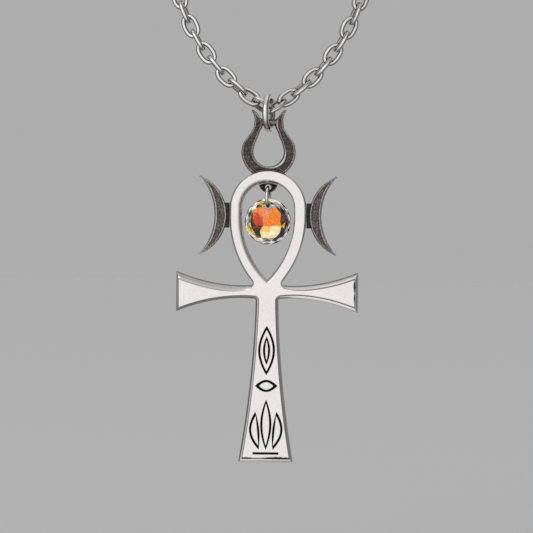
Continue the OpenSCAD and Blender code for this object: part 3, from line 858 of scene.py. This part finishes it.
# One closed oval link of round wire, lying along X in its own frame, in metres
def linkMesh(fineSteps=720):
    a, b = (chain["linkL"] - chain["wire"]) / 2, (chain["linkW"] - chain["wire"]) / 2
    power = 2 / chain["squareness"]
    around, across = chain["around"], chain["across"]

    def spine(t):
        c, s = math.cos(t), math.sin(t)
        return Vector((a * math.copysign(abs(c) ** power, c), b * math.copysign(abs(s) ** power, s), 0))

    fine = [spine(2 * math.pi * k / fineSteps) for k in range(fineSteps)]
    fine.append(fine[0])
    reach = reaches(fine)
    path, k = [], 0
    for i in range(around):
        goal = reach[-1] * i / around
        while reach[k + 1] < goal:
            k += 1
        path.append(fine[k].lerp(fine[k + 1], (goal - reach[k]) / (reach[k + 1] - reach[k])))
    verts, rims = [], []
    for i in range(around):
        tangent = unit(path[(i + 1) % around] - path[i - 1])
        out = Vector((tangent.y, -tangent.x, 0))
        for j in range(across):
            t = 2 * math.pi * j / across
            p = path[i] + (out * math.cos(t) + Vector((0, 0, 1)) * math.sin(t)) * chain["wire"] / 2
            verts.append(p * mm)
            rims.append(wireShade(t))
    mesh = rimMesh("linkShape", verts, gridFaces(around, across, closed=True), rims)
    return bpy.data.objects.new("linkShape", mesh)


def routeCurve(points):
    data = bpy.data.curves.new("routeLine", "CURVE")
    data.dimensions = "3D"
    spline = data.splines.new("POLY")
    spline.points.add(len(points) - 1)
    for slot, p in zip(spline.points, points):
        slot.co = (*p, 1)
    return addObject("routeLine", data)


# Geometry nodes that put a link between each two neighbouring points of the route, each a
# quarter turn from the one before, and the first few twisted so that the halves interlock
def chainTree():
    tree = bpy.data.node_groups.new("chainLinks", "GeometryNodeTree")
    group, end = openGroup(
        tree,
        [("Route", "Geometry"), ("Link", "Object"), ("Links", "Int"), ("Twist", "Float"),
         ("Twist share", "Float"), ("First step", "Float"), ("Side", "Float"), ("Neck", "Float"),
         ("Metal", "Material")],
        [("Chain", "Geometry")])
    vectorMaths = "ShaderNodeVectorMath"

    def put(kind, values=None):
        return node(tree, kind, values).outputs[0]

    def compared(operation, a, b):
        return put("FunctionNodeCompare", {"data_type": "INT", "operation": operation, 2: a, 3: b})

    def store(geometryIn, name, value):
        return put("GeometryNodeStoreNamedAttribute", {
            "data_type": "FLOAT_VECTOR", "domain": "POINT", "Geometry": geometryIn, "Name": name,
            "Value": value})

    def stored(name):
        return put("GeometryNodeInputNamedAttribute", {"data_type": "FLOAT_VECTOR", "Name": name})

    even = put("GeometryNodeResampleCurve", {
        "Curve": group["Route"], "Count": maths(tree, "ADD", group["Links"], 1)})
    dots = put("GeometryNodeCurveToPoints", {"mode": "EVALUATED", 0: even})
    index, position = put("GeometryNodeInputIndex"), put("GeometryNodeInputPosition")

    # The inner end of the first link steps to the front on one side and to the back on the other
    shift = maths(tree, "MULTIPLY", maths(tree, "MULTIPLY", group["Side"], group["First step"]), -1.0)
    stepped = put("GeometryNodeSetPosition", {
        "Geometry": dots, "Selection": compared("EQUAL", index, 0),
        "Offset": put("ShaderNodeCombineXYZ", {1: shift})})

    following = put("GeometryNodeFieldAtIndex", {
        "data_type": "FLOAT_VECTOR", "domain": "POINT", "Index": maths(tree, "ADD", index, 1),
        "Value": position})
    way = maths(tree, "SUBTRACT", following, position, kind=vectorMaths)
    half = put(vectorMaths, {"operation": "SCALE", 0: way, "Scale": 0.5})
    withWay = store(stepped, "way", way)
    withMiddle = store(withWay, "middle", maths(tree, "ADD", position, half, kind=vectorMaths))
    beyond = compared("GREATER_EQUAL", index, group["Links"])
    trimmed = put("GeometryNodeDeleteGeometry", {
        "domain": "POINT", "Geometry": withMiddle, "Selection": beyond})
    centred = put("GeometryNodeSetPosition", {"Geometry": trimmed, "Position": stored("middle")})

    # A link's flat side looks away from the middle of the neck
    apart = node(tree, "ShaderNodeSeparateXYZ", {0: position}).outputs
    away = put("ShaderNodeCombineXYZ", {0: apart[0], 1: maths(tree, "SUBTRACT", apart[1], group["Neck"])})
    axes = put("FunctionNodeAxesToRotation", {
        "primary_axis": "X", "secondary_axis": "Z", 0: stored("way"), 1: away})
    parity = maths(tree, "MODULO", index, 2.0)
    quarter = maths(tree, "MULTIPLY", maths(tree, "SUBTRACT", parity, 1.0), math.pi / 2)
    fade = maths(tree, "MULTIPLY", group["Twist"], maths(tree, "POWER", group["Twist share"], index))
    turn = maths(tree, "MULTIPLY", maths(tree, "ADD", quarter, fade), group["Side"])
    spin = put("FunctionNodeEulerToRotation", {0: put("ShaderNodeCombineXYZ", {0: turn})})
    turned = put("FunctionNodeRotateRotation", {"rotation_space": "LOCAL", 0: axes, 1: spin})

    shape = node(tree, "GeometryNodeObjectInfo", {"Object": group["Link"]}).outputs["Geometry"]
    placed = put("GeometryNodeInstanceOnPoints", {"Points": centred, "Instance": shape, "Rotation": turned})
    mirrored = put("GeometryNodeTransform", {
        "Geometry": placed, "Scale": put("ShaderNodeCombineXYZ", {0: group["Side"], 1: 1.0, 2: 1.0})})
    realized = put("GeometryNodeRealizeInstances", {0: mirrored})
    painted = put("GeometryNodeSetMaterial", {"Geometry": realized, "Material": group["Metal"]})
    tree.links.new(painted, end[0])
    return tree


def buildChain(name, side, nodeName, tree, link):
    line = smooth([(x, y, z + vertexZ) for x, y, z in chain["route"]], 8)
    reach = reaches(line)
    eyeX = chain["claspL"] / 2 + chain["eyeR"] - chain["eyeSunk"]
    claspReach = eyeX + chain["eyeR"] - (chain["wire"] + chain["fit"]) / 2
    most = chain["linkL"] - 2 * chain["wire"] - chain["play"] * chain["fit"]
    links = math.ceil((reach[-1] - claspReach) / most)
    stop = reach[-1] - claspReach
    kept = [p for p, r in zip(line, reach) if r < stop]
    k = len(kept)
    kept.append(line[k - 1].lerp(line[k], (stop - reach[k - 1]) / (reach[k] - reach[k - 1])))
    route = routeCurve([inFrame(p) for p in kept])
    step = route.modifiers.new("links", "NODES")
    step.node_group = tree
    values = {"Link": link, "Links": links, "Twist": math.radians(chain["twist"]),
              "Twist share": chain["share"], "First step": chain["step"] * mm, "Side": float(side),
              "Neck": inFrame((0, chain["neckY"], 0)).y, "Metal": chainSilver}
    for item in tree.interface.items_tree:
        if item.in_out == "INPUT" and item.name in values:
            step[item.identifier] = values[item.name]
    mesh = evaluatedMesh(route)
    bpy.data.objects.remove(route)
    mesh.name = name
    for spare in ("way", "middle"):
        if spare in mesh.attributes:
            mesh.attributes.remove(mesh.attributes[spare])
    # The mirrored half is inside out
    if side < 0:
        mesh.flip_normals()
    mesh.shade_smooth()
    made = addObject(name, mesh)
    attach(made, "necklace")
    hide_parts(nodeName)
    return made


linkTree = chainTree()
linkShape = linkMesh()
chainRight = buildChain("chainRight", 1, "chain_right", linkTree, linkShape)
chainLeft = buildChain("chainLeft", -1, "chain_left", linkTree, linkShape)
bpy.data.objects.remove(linkShape)
print("stage: chain", len(chainRight.data.polygons), len(chainLeft.data.polygons))

# Clasp
claspNode = frame["nodes"]["clasp"]
claspNode.data.materials.clear()
claspNode.data.materials.append(claspSilver)

# Crystal
crystal = {
    "d": 10.0, "tableD": 5.8, "crownH": 1.2, "girdle": 0.7, "pavilion": 2.3, "holeR": 0.68, "holeIn": 1.7,
    "holeSteps": 40, "lowShare": 0.3,
    # The coloured core lies this far under the clear skin, and its hole is this much wider
    "skin": 0.3, "coreHole": 0.06,
    # The core's back: how far its rim lies inside the girdle's edge, the radius and the depth of the
    # ring half way, and how far its point lies inside the skin's
    "backIn": 0.1, "backR": 2.4, "backDeep": 0.95, "pointIn": 0.4,
    # Radii of the rings of small facets round the fire, every other one turned by half a facet
    "rings": [3.75, 4.2, 4.55, 4.78],
    # Outermost ring, which has twice as many facets
    "edgeR": 4.9,
}
crystalZ = middleZ("crystal")
crystalHoleZ = crystalZ + crystal["d"] / 2 - crystal["holeIn"]
# Colours of the coating, with painted reflections, painted glints and painted shade among them
coatingAndLightColours = {
    "deep": (0.6, 0.055, 0.008), "red": (0.84, 0.125, 0.018), "peach": (0.9, 0.33, 0.14),
    "salmon": (0.88, 0.26, 0.07), "orange": (0.92, 0.26, 0.008), "amber": (0.88, 0.3, 0.012),
    "straw": (0.95, 0.62, 0.2), "pale": (1.0, 0.88, 0.47), "cream": (1.0, 0.96, 0.68),
    "gold": (0.9, 0.58, 0.05), "leaf": (0.3, 0.38, 0.13), "olive": (0.13, 0.13, 0.03),
    "copper": (0.55, 0.17, 0.03), "smoke": (0.065, 0.06, 0.063), "violet": (0.045, 0.038, 0.055),
    "brown": (0.045, 0.02, 0.01), "rust": (0.25, 0.05, 0.015), "ink": (0.012, 0.01, 0.008),
    "tan": (0.4, 0.3, 0.2), "silver": (0.5, 0.49, 0.5), "white": (0.97, 0.96, 0.94),
}
# Corners of the fire, from the crystal's middle to the right, up and to the back. Those from d to
# c go round its edge, in step with the rings' turns.
fireAt = {
    "d": (0.43, 3.15, 0), "e": (1.81, 2.83, 0), "f": (2.77, 1.66, 0), "g": (2.6, 0, 0),
    "u": (2.87, -1.0, 0), "t": (2.55, -2.4, 0), "s": (1.5, -3.55, 0), "r": (0.2, -3.66, 0),
    "q": (-1.3, -3.45, 0), "p": (-1.7, -2.17, 0), "o": (-1.5, -1.43, 0), "n": (-2.55, -1.0, 0),
    "m": (-3.2, 0.06, 0), "a": (-3.2, 1.87, 0), "b": (-2.55, 2.83, 0), "c": (-1.17, 3.04, 0),
    "z": (-0.9, -0.83, 0.25), "i": (0.43, -1.2, 0.2), "h": (1.6, -0.89, 0.1),
    "k": (0.85, 1.66, 0.12), "l": (-0.1, 0.92, 0.2), "w": (-2.35, 1.95, 0.1), "x": (-1.17, 1.1, 0.2),
    "y": (0.5, -2.3, 0.15),
}
# Facets of the fire and their colours: the coating's colour together with painted reflections
fireFacets = [
    ("m w z n", "deep"), ("w x z", "red"), ("a w m", "red"), ("a b w", "amber"), ("b c x w", "salmon"),
    ("c d k l x", "peach"), ("x l z", "peach"), ("d e k", "salmon"), ("e f k", "amber"),
    ("k f g l", "orange"), ("l g h z", "orange"), ("z h i", "salmon"), ("g u h", "amber"),
    ("h u y i", "pale"), ("i y z", "straw"),
    ("u t y", "pale"), ("t s y", "cream"), ("s r y", "pale"), ("r q y", "cream"), ("q p y", "pale"),
    ("p z y", "straw"), ("p o z", "red"), ("o n z", "brown"),
]
fireEdge = "defgutsrqponmabc"
# Painted reflections and glints on the facets round the core's edge
edgeReflections = ["silver", "ink", "white", "smoke", "tan"]
backTints = ["orange", "copper", "salmon", "amber", "copper", "red", "orange", "salmon"]
# Painted reflections and glints on the small facets, a row for each sixteenth of the turn from the top
ringReflections = [
    "white silver smoke tan white silver", "violet smoke silver violet tan silver",
    "violet smoke ink violet smoke tan", "rust brown smoke violet tan smoke",
    "gold violet ink smoke violet silver", "brown smoke violet violet smoke violet",
    "violet ink smoke smoke silver smoke", "olive smoke silver violet white silver",
    "ink olive tan white silver white", "brown ink olive tan gold white",
    "brown rust gold olive gold gold", "ink brown gold olive violet silver",
    "brown ink leaf violet silver smoke", "olive ink leaf white leaf white",
    "amber olive ink leaf silver gold", "gold ink olive gold tan leaf",
]


def skinY(r):
    slope = crystal["crownH"] / (crystal["d"] / 2 - crystal["tableD"] / 2)
    return -crystal["girdle"] / 2 - slope * (crystal["d"] / 2 - max(r, crystal["tableD"] / 2))


# Point at a turn from the top, counted in sixteenths
def polar(turn, r, y):
    a = 2 * math.pi * turn / 16
    return Vector((r * math.sin(a), y, r * math.cos(a)))


# Clear outside of the crystal: a table, crown facets in eights, a girdle and a pavilion
def skinFaces():
    r, g, t = crystal["d"] / 2, crystal["girdle"] / 2, crystal["tableD"] / 2
    kite, low = (t + r) / 2, crystal["lowShare"] * r
    step = math.cos(math.pi / 8)
    slope = crystal["crownH"] / (r - t)
    backSlope = crystal["pavilion"] / r
    table = [polar(2 * k, t, -g - crystal["crownH"]) for k in range(8)]
    kites = [polar(2 * k + 1, kite, -g - slope * (r - kite * step)) for k in range(8)]
    front, back = ([polar(k / 2, r, y) for k in range(32)] for y in (-g, g))
    lows = [polar(2 * k + 1, low, g + backSlope * (r - low * step)) for k in range(8)]
    culet = Vector((0, g + crystal["pavilion"], 0))
    faces = [table]
    for k in range(8):
        faces += [[table[k], kites[k], table[(k + 1) % 8]], [table[k], kites[k - 1], front[4 * k], kites[k]],
                  [culet, lows[k], back[4 * k], lows[k - 1]]]
        for a in range(4 * k, 4 * k + 4):
            b = (a + 1) % 32
            faces += [[kites[k], front[a], front[b]], [lows[k], back[b], back[a]],
                      [front[a], back[a], back[b], front[b]]]
    return [(face, "white") for face in faces]


# Small facets of one ring, between two loops of corners
def ringFaces(row, inner, outer):
    faces = []
    for k in range(16):
        m = (k + 1) % 16
        names = ringReflections[k].split()
        first, second = names[2 * row: 2 * row + 2] if row < 3 else ("white", names[k % 6])
        if row % 2:
            faces += [([inner[k], outer[k], inner[m]], first), ([inner[m], outer[k], outer[m]], second)]
        else:
            faces += [([inner[k], outer[k], outer[m]], first), ([inner[k], outer[m], inner[m]], second)]
    return faces


# Edge of the core, from the last ring's corners, with painted reflections, and its pointed back
def backFaces(last):
    deep, half = crystal["skin"], crystal["girdle"] / 2
    edge = [polar(k / 2, crystal["edgeR"], skinY(crystal["edgeR"]) + deep) for k in range(32)]
    backRim = [Vector((p.x, half - crystal["backIn"], p.z)) for p in edge]
    middle = [polar(k, crystal["backR"], half + crystal["backDeep"]) for k in range(16)]
    culet = Vector((0, half + crystal["pavilion"] - crystal["pointIn"], 0))
    faces = []
    for k in range(16):
        p, q = last[k], last[(k + 1) % 16]
        a, b, c = edge[2 * k + 1], edge[(2 * k + 2) % 32], edge[(2 * k + 3) % 32]
        corners = ([p, a, b], [p, b, q], [q, b, c])
        faces += [(face, edgeReflections[turn % 5]) for face, turn in zip(corners, (k, k + 2, 3 * k))]
    for k in range(16):
        m = (k + 1) % 16
        a, b, c = 2 * k, 2 * k + 1, (2 * k + 2) % 32
        faces += [([edge[a], backRim[a], backRim[b], edge[b]], "silver"),
                  ([edge[b], backRim[b], backRim[c], edge[c]], "white"),
                  ([backRim[a], middle[k], backRim[b]], backTints[k % 8]),
                  ([backRim[b], middle[k], backRim[c]], "copper"),
                  ([backRim[c], middle[k], middle[m]], backTints[(3 * k + 1) % 8]),
                  ([middle[k], culet, middle[m]], backTints[(5 * k + 2) % 8])]
    return faces


# Coloured core, painted with its coating's colour and with painted reflections: the fire, rings of small
# facets round it, an edge and a back
def coreFaces():
    deep = crystal["skin"]
    at = {}
    for name, (x, z, back) in fireAt.items():
        at[name] = Vector((x, skinY(math.hypot(x, z)) + deep + back, z))
    faces = [([at[c] for c in names.split()], coatingAndLight) for names, coatingAndLight in fireFacets]
    loops = [[at[name] for name in fireEdge]]
    for row, r in enumerate(crystal["rings"]):
        loops.append([polar(k + row % 2 / 2, r, skinY(r) + deep) for k in range(16)])
        faces += ringFaces(row, *loops[-2:])
    return faces + backFaces(loops[-1])


# Body of plain facets with a hole drilled through it from front to back
def facetBody(name, facets, materials, holeR):
    verts, faces, index = [], [], {}
    for points, _ in facets:
        face = []
        for p in points:
            key = tuple(round(c, 5) for c in p)
            if key not in index:
                index[key] = len(verts)
                verts.append(p + Vector((0, 0, crystalZ)))
            face.append(index[key])
        faces.append(tuple(face))
    made = addObject(name, bpy.data.meshes.new(name))
    made.data.from_pydata(verts, [], faces)
    paint(made.data, [coatingAndLightColours[coatingAndLight] for _, coatingAndLight in facets])
    for material in materials:
        made.data.materials.append(material)
    pointOutwards(made.data)
    drill = rod("Y", (0, 0, crystalHoleZ), holeR, half=crystal["d"], rim=0.5, segments=crystal["holeSteps"])
    cutter = rawMesh(name + "Drill", *drill)
    # The drill paints shade on the hole's wall
    paint(cutter.data, [coatingAndLightColours["smoke"]] * len(cutter.data.polygons))
    cutAway(made, cutter)
    darkenHole(made.data, holeR, len(materials) - 1)
    settle(made, 4.0)
    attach(made, "pendant")
    return made


# The drilled wall, which faces the hole's axis, gets painted shade and takes the last material
def darkenHole(mesh, holeR, slot):
    layer = mesh.color_attributes["coatingAndLight"]
    for polygon in mesh.polygons:
        away = math.hypot(polygon.center.x, polygon.center.z - crystalHoleZ)
        if away < 1.02 * holeR and abs(polygon.normal.y) < 0.1:
            polygon.material_index = slot
            for loop in polygon.loop_indices:
                layer.data[loop].color = (*coatingAndLightColours["smoke"], 1)


def paint(mesh, colours):
    layer = mesh.color_attributes.new("coatingAndLight", "FLOAT_COLOR", "CORNER")
    for polygon, colour in zip(mesh.polygons, colours):
        for loop in polygon.loop_indices:
            layer.data[loop].color = (*colour, 1)


def coreMaterial():
    material, tree, surface = blank("crystalFire")
    coatingAndLight = node(tree, "ShaderNodeVertexColor", {"layer_name": "coatingAndLight"}).outputs["Color"]
    place = objectPlace(tree)
    cells = node(tree, "ShaderNodeTexVoronoi", {"Vector": place, "Scale": 2400.0}).outputs["Distance"]
    # Painted glints: each small cell of the core is a little brighter or darker
    glint = node(tree, "ShaderNodeMapRange", {"Value": cells, "To Min": 0.74, "To Max": 1.32}).outputs[0]
    bright = node(tree, "ShaderNodeVectorMath", {"operation": "SCALE", 0: coatingAndLight, "Scale": glint}).outputs[0]
    bump = node(tree, "ShaderNodeBump", {"Strength": 0.25, "Distance": 0.0001, "Height": cells})
    # The emission makes the core glow a little, though it is no lamp
    feed(tree, surface, {
        "Base Color": bright, "Emission Color": bright, "Emission Strength": 0.35,
        "Normal": bump.outputs["Normal"], "Roughness": 0.22, "Specular IOR Level": 0.2})
    return material


def skinMaterial():
    material = bpy.data.materials.new("crystalClear")
    tree = emptyTree(material)
    bump = node(tree, "ShaderNodeBump", {
        "Strength": 0.15, "Distance": 0.00003, "Height": noise(tree, objectPlace(tree), size=300.0)})
    clear = node(tree, "ShaderNodeBsdfTransparent")
    gloss = node(tree, "ShaderNodeBsdfGlossy", {"Roughness": 0.03, "Normal": bump.outputs["Normal"]})
    edge = node(tree, "ShaderNodeFresnel", {"IOR": 1.42})
    mixed = node(tree, "ShaderNodeMixShader", {0: edge.outputs[0], 1: clear.outputs[0], 2: gloss.outputs[0]})
    node(tree, "ShaderNodeOutputMaterial", {"Surface": mixed.outputs[0]})
    return material


crystalFire = coreMaterial()
crystalCore = facetBody("crystalCore", coreFaces(), [crystalFire], crystal["holeR"] + crystal["coreHole"])
crystalSkin = facetBody("crystalSkin", skinFaces(), [skinMaterial(), crystalFire], crystal["holeR"])
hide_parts("crystal")
print("stage: crystal", len(crystalCore.data.polygons))

# Studio
studio = {
    "floor": 0.81, "floorDrop": 0.03, "floorHalf": 8.0, "backdrop": 0.42,
    # The camera's lens, the width that it takes in, the middle of its view and its turn
    "lens": 110.0, "sensor": 36.0, "fieldMm": 113.4, "centre": (-0.2, 0.0, 5.4), "roll": 0.6,
    # The soft box, placed from the middle of the pendant in metres
    "middle": (0, 0, 5), "boxAt": (-0.35, -0.6, 0.4), "boxSize": 0.3, "boxPower": 0.4,
    # The studio is brightest this way, a little to the left of the camera
    "brightWay": (-0.3, -0.94, 0.03),
    # Brightness by the angle from that way: cosine, value
    "round": [(1.0, 0.98), (0.82, 0.88), (0.55, 0.5), (0.3, 0.25), (0.0, 0.13), (-0.5, 0.26), (-0.85, 0.42),
              (-1.0, 0.5)],
    # Brightness from overhead by the height of the direction: sine, share
    "overhead": [(0.0, 0.0), (0.5, 0.02), (0.78, 0.5), (1.0, 1.0)], "overheadValue": 0.72,
}


def grey(value):
    return (value, value, value, 1)


def buildFloor():
    half, z = studio["floorHalf"], cadLow.z - studio["floorDrop"]
    mesh = bpy.data.meshes.new("floor")
    corners = [(-half, -half, z), (half, -half, z), (half, half, z), (-half, half, z)]
    mesh.from_pydata(corners, [], [(0, 1, 2, 3)])
    material, tree, surface = blank("paleFloor")
    feed(tree, surface, {"Base Color": grey(studio["floor"]), "Roughness": 1.0, "Specular IOR Level": 0.0})
    mesh.materials.append(material)
    made = addObject("floor", mesh)
    # The metal mirrors the studio alone, so that its lower half isn't duller than its upper one
    made.visible_glossy = False


def buildWorld():
    world = bpy.data.worlds.new("studio")
    bpy.context.scene.world = world
    tree = emptyTree(world)
    place = node(tree, "ShaderNodeTexCoord").outputs["Generated"]
    facing = node(tree, "ShaderNodeVectorMath", {
        "operation": "DOT_PRODUCT", 0: place, 1: studio["brightWay"]})
    toFront = node(tree, "ShaderNodeMapRange", {
        "Value": facing.outputs["Value"], "From Min": -1.0, "From Max": 1.0}).outputs["Result"]
    around = ramp(tree, toFront, [((1 + c) / 2, (v, v, v)) for c, v in reversed(studio["round"])])
    height = node(tree, "ShaderNodeSeparateXYZ", {0: place}).outputs["Z"]
    upward = ramp(tree, height, [(h, (v, v, v)) for h, v in studio["overhead"]])
    both = node(tree, "ShaderNodeMixRGB", {
        "Fac": upward, "Color1": around, "Color2": grey(studio["overheadValue"])}).outputs[0]
    # The backdrop itself is plain and even
    ray = node(tree, "ShaderNodeLightPath").outputs["Is Camera Ray"]
    seen = node(tree, "ShaderNodeMixRGB", {"Fac": ray, "Color1": both, "Color2": grey(studio["backdrop"])})
    back = node(tree, "ShaderNodeBackground", {"Color": seen.outputs[0]})
    node(tree, "ShaderNodeOutputWorld", {"Surface": back.outputs[0]})


def buildSoftBox():
    data = bpy.data.lights.new("softBox", "AREA")
    data.size, data.energy = studio["boxSize"], studio["boxPower"]
    made = addObject("softBox", data)
    way = Vector(studio["boxAt"])
    made.location = inFrame(studio["middle"]) + way
    made.rotation_euler = (-way).to_track_quat("-Z", "Y").to_euler()
    made.visible_camera = False


def buildCamera():
    data = bpy.data.cameras.new("camera")
    data.sensor_width, data.lens = studio["sensor"], studio["lens"]
    data.clip_start, data.clip_end = 0.01, 50
    distance = studio["fieldMm"] * studio["lens"] / studio["sensor"]
    made = addObject("camera", data)
    made.location = inFrame(Vector(studio["centre"]) - Vector((0, distance, 0)))
    made.rotation_euler = (math.radians(90), math.radians(-studio["roll"]), 0)
    bpy.context.scene.camera = made


buildFloor()
buildWorld()
buildSoftBox()
buildCamera()
bpy.context.scene.view_settings.view_transform = "Standard"

print("stage: ready")
